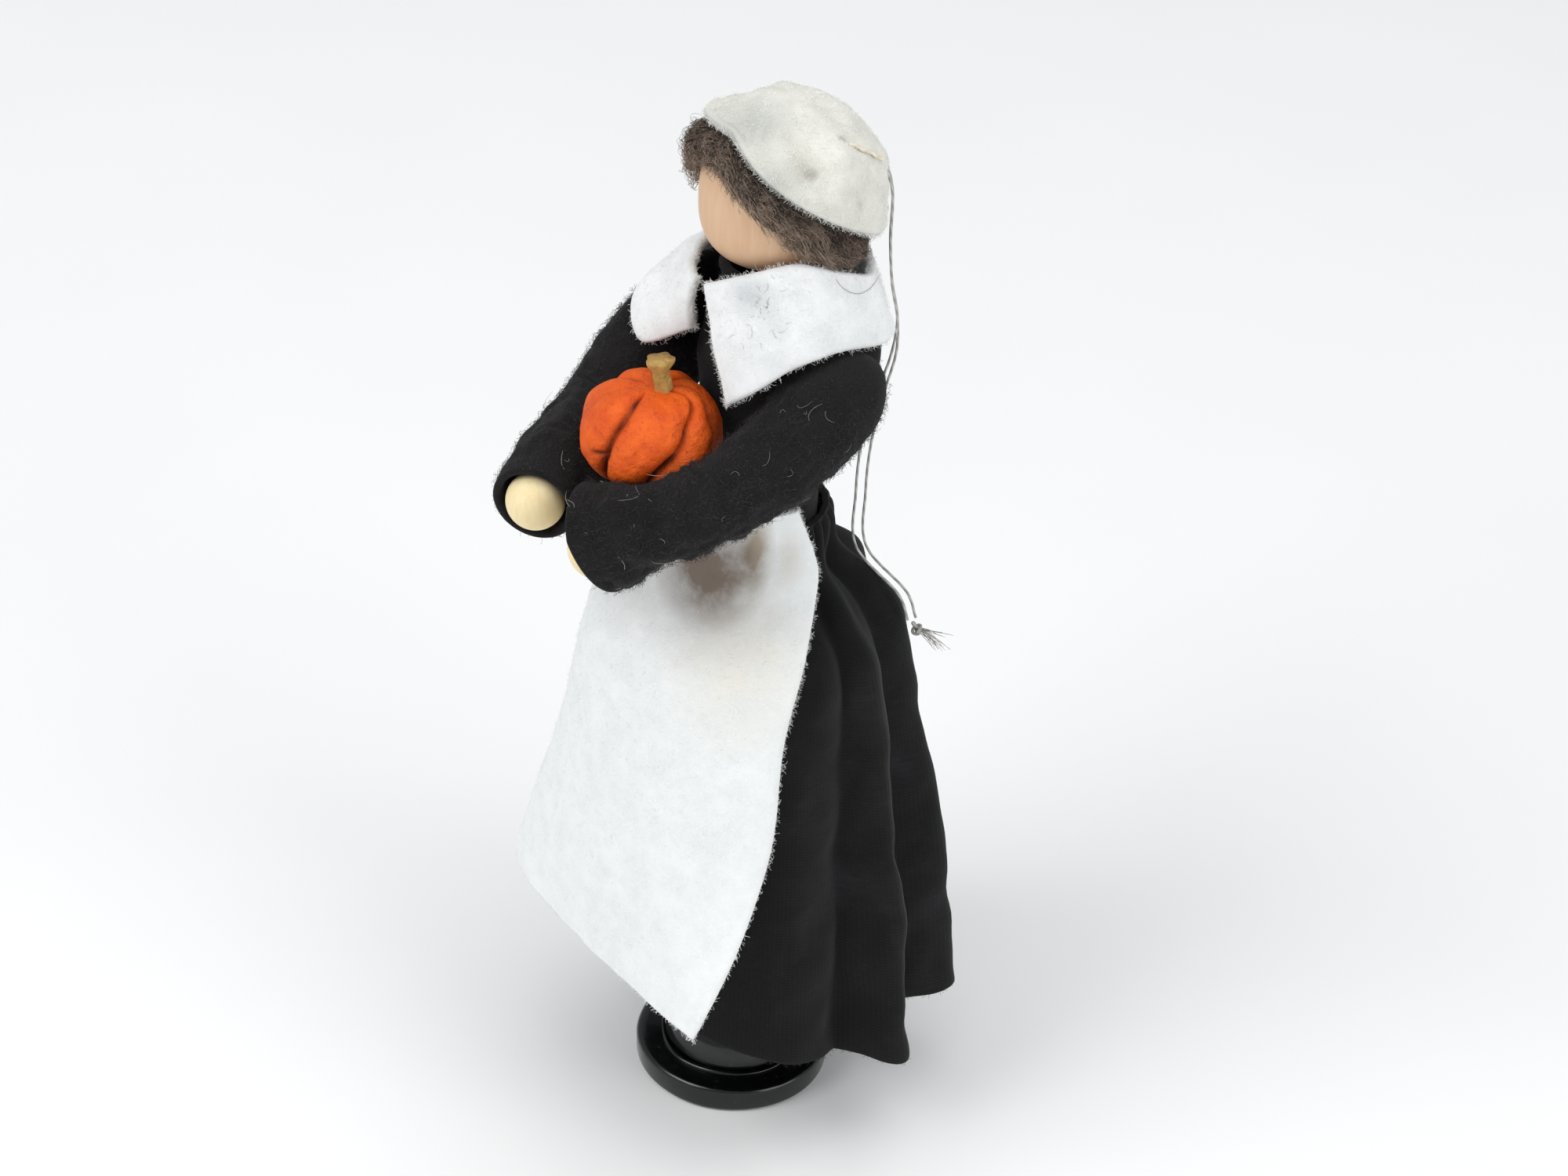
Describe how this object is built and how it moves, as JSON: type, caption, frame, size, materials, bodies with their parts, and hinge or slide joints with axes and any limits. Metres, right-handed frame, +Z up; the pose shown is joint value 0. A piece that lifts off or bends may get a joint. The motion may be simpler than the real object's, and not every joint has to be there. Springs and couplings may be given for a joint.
{
  "type": "pilgrim doll ornament",
  "caption": "Standing wooden peg doll in pilgrim dress, with felt cap, collar and apron, a cotton skirt, bendable arms round a clay pumpkin, and a thread loop to hang it by.",
  "frame": {"origin": "centre of the base disc's underside", "axes": "+Z up along the peg, the doll faces -Y and its left side is +X"},
  "size_m": [0.0472, 0.053, 0.1268],
  "materials": {
    "black_gloss": "gloss black paint",
    "bare_wood": "smooth, unpainted",
    "brown_wool": "curly wool",
    "white_felt": "felt",
    "black_felt": "felt",
    "black_cotton": "plain weave",
    "orange_clay": "baked craft clay, satin",
    "tan_clay": "baked craft clay",
    "wire_stem": "wire with black nap",
    "grey_thread": "sewing thread",
    "cream_thread": "sewing thread"
  },
  "bodies": {
    "figure": {"base_disc": "black_gloss", "body_peg": "black_gloss", "head_ball": "bare_wood", "hair_band": "brown_wool", "felt_cap": "white_felt", "cap_seam_thread": "cream_thread", "felt_bodice": "black_felt", "felt_collar": "white_felt", "shoulder_stem": "wire_stem", "pumpkin_body": "orange_clay", "pumpkin_stem": "tan_clay", "skirt": "black_cotton", "apron": "white_felt", "hang_strand_left": "grey_thread", "hang_strand_right": "grey_thread", "hang_knot": "grey_thread"},
    "left_arm": {"left_sleeve": "black_felt", "left_arm_stem": "wire_stem", "left_hand": "bare_wood"},
    "right_arm": {"right_sleeve": "black_felt", "right_arm_stem": "wire_stem", "right_hand": "bare_wood"}
  },
  "joints": [
    {"name": "left_shoulder", "type": "hinge", "parent": "figure", "child": "left_arm", "pos_m": [0.0119, 0, 0.0974], "axis": [0, 0, 1], "range_deg": [0, 40]},
    {"name": "right_shoulder", "type": "hinge", "parent": "figure", "child": "right_arm", "pos_m": [-0.0119, 0, 0.0974], "axis": [0, 0, -1], "range_deg": [0, 40]}
  ]
}
